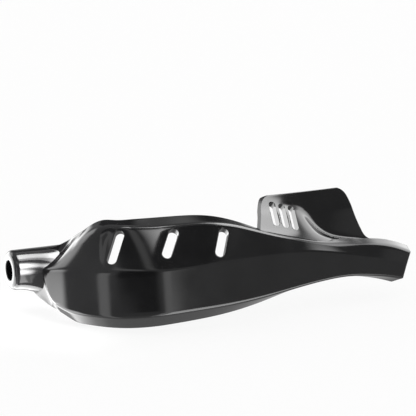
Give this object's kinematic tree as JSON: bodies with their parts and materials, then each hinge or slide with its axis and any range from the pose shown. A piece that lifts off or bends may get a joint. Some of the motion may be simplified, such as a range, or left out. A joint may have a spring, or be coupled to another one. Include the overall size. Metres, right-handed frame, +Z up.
{
  "type": "motorcycle hand guard",
  "caption": "Curved gloss-black hand guard with a bar-end cup, a vented shield, a closed inner strap and a raised vented wing.",
  "frame": {"origin": "centre of the bolt recess's mouth, at the outer end of the bar-end cup", "axes": "+X inboard along the handlebar's grip, -Y forward of the grip, +Z up"},
  "size_m": [0.3275, 0.1134, 0.0924],
  "materials": {
    "moulding": "gloss black, as moulded"
  },
  "bodies": {
    "root": {"guard_shell": "moulding"}
  },
  "joints": []
}
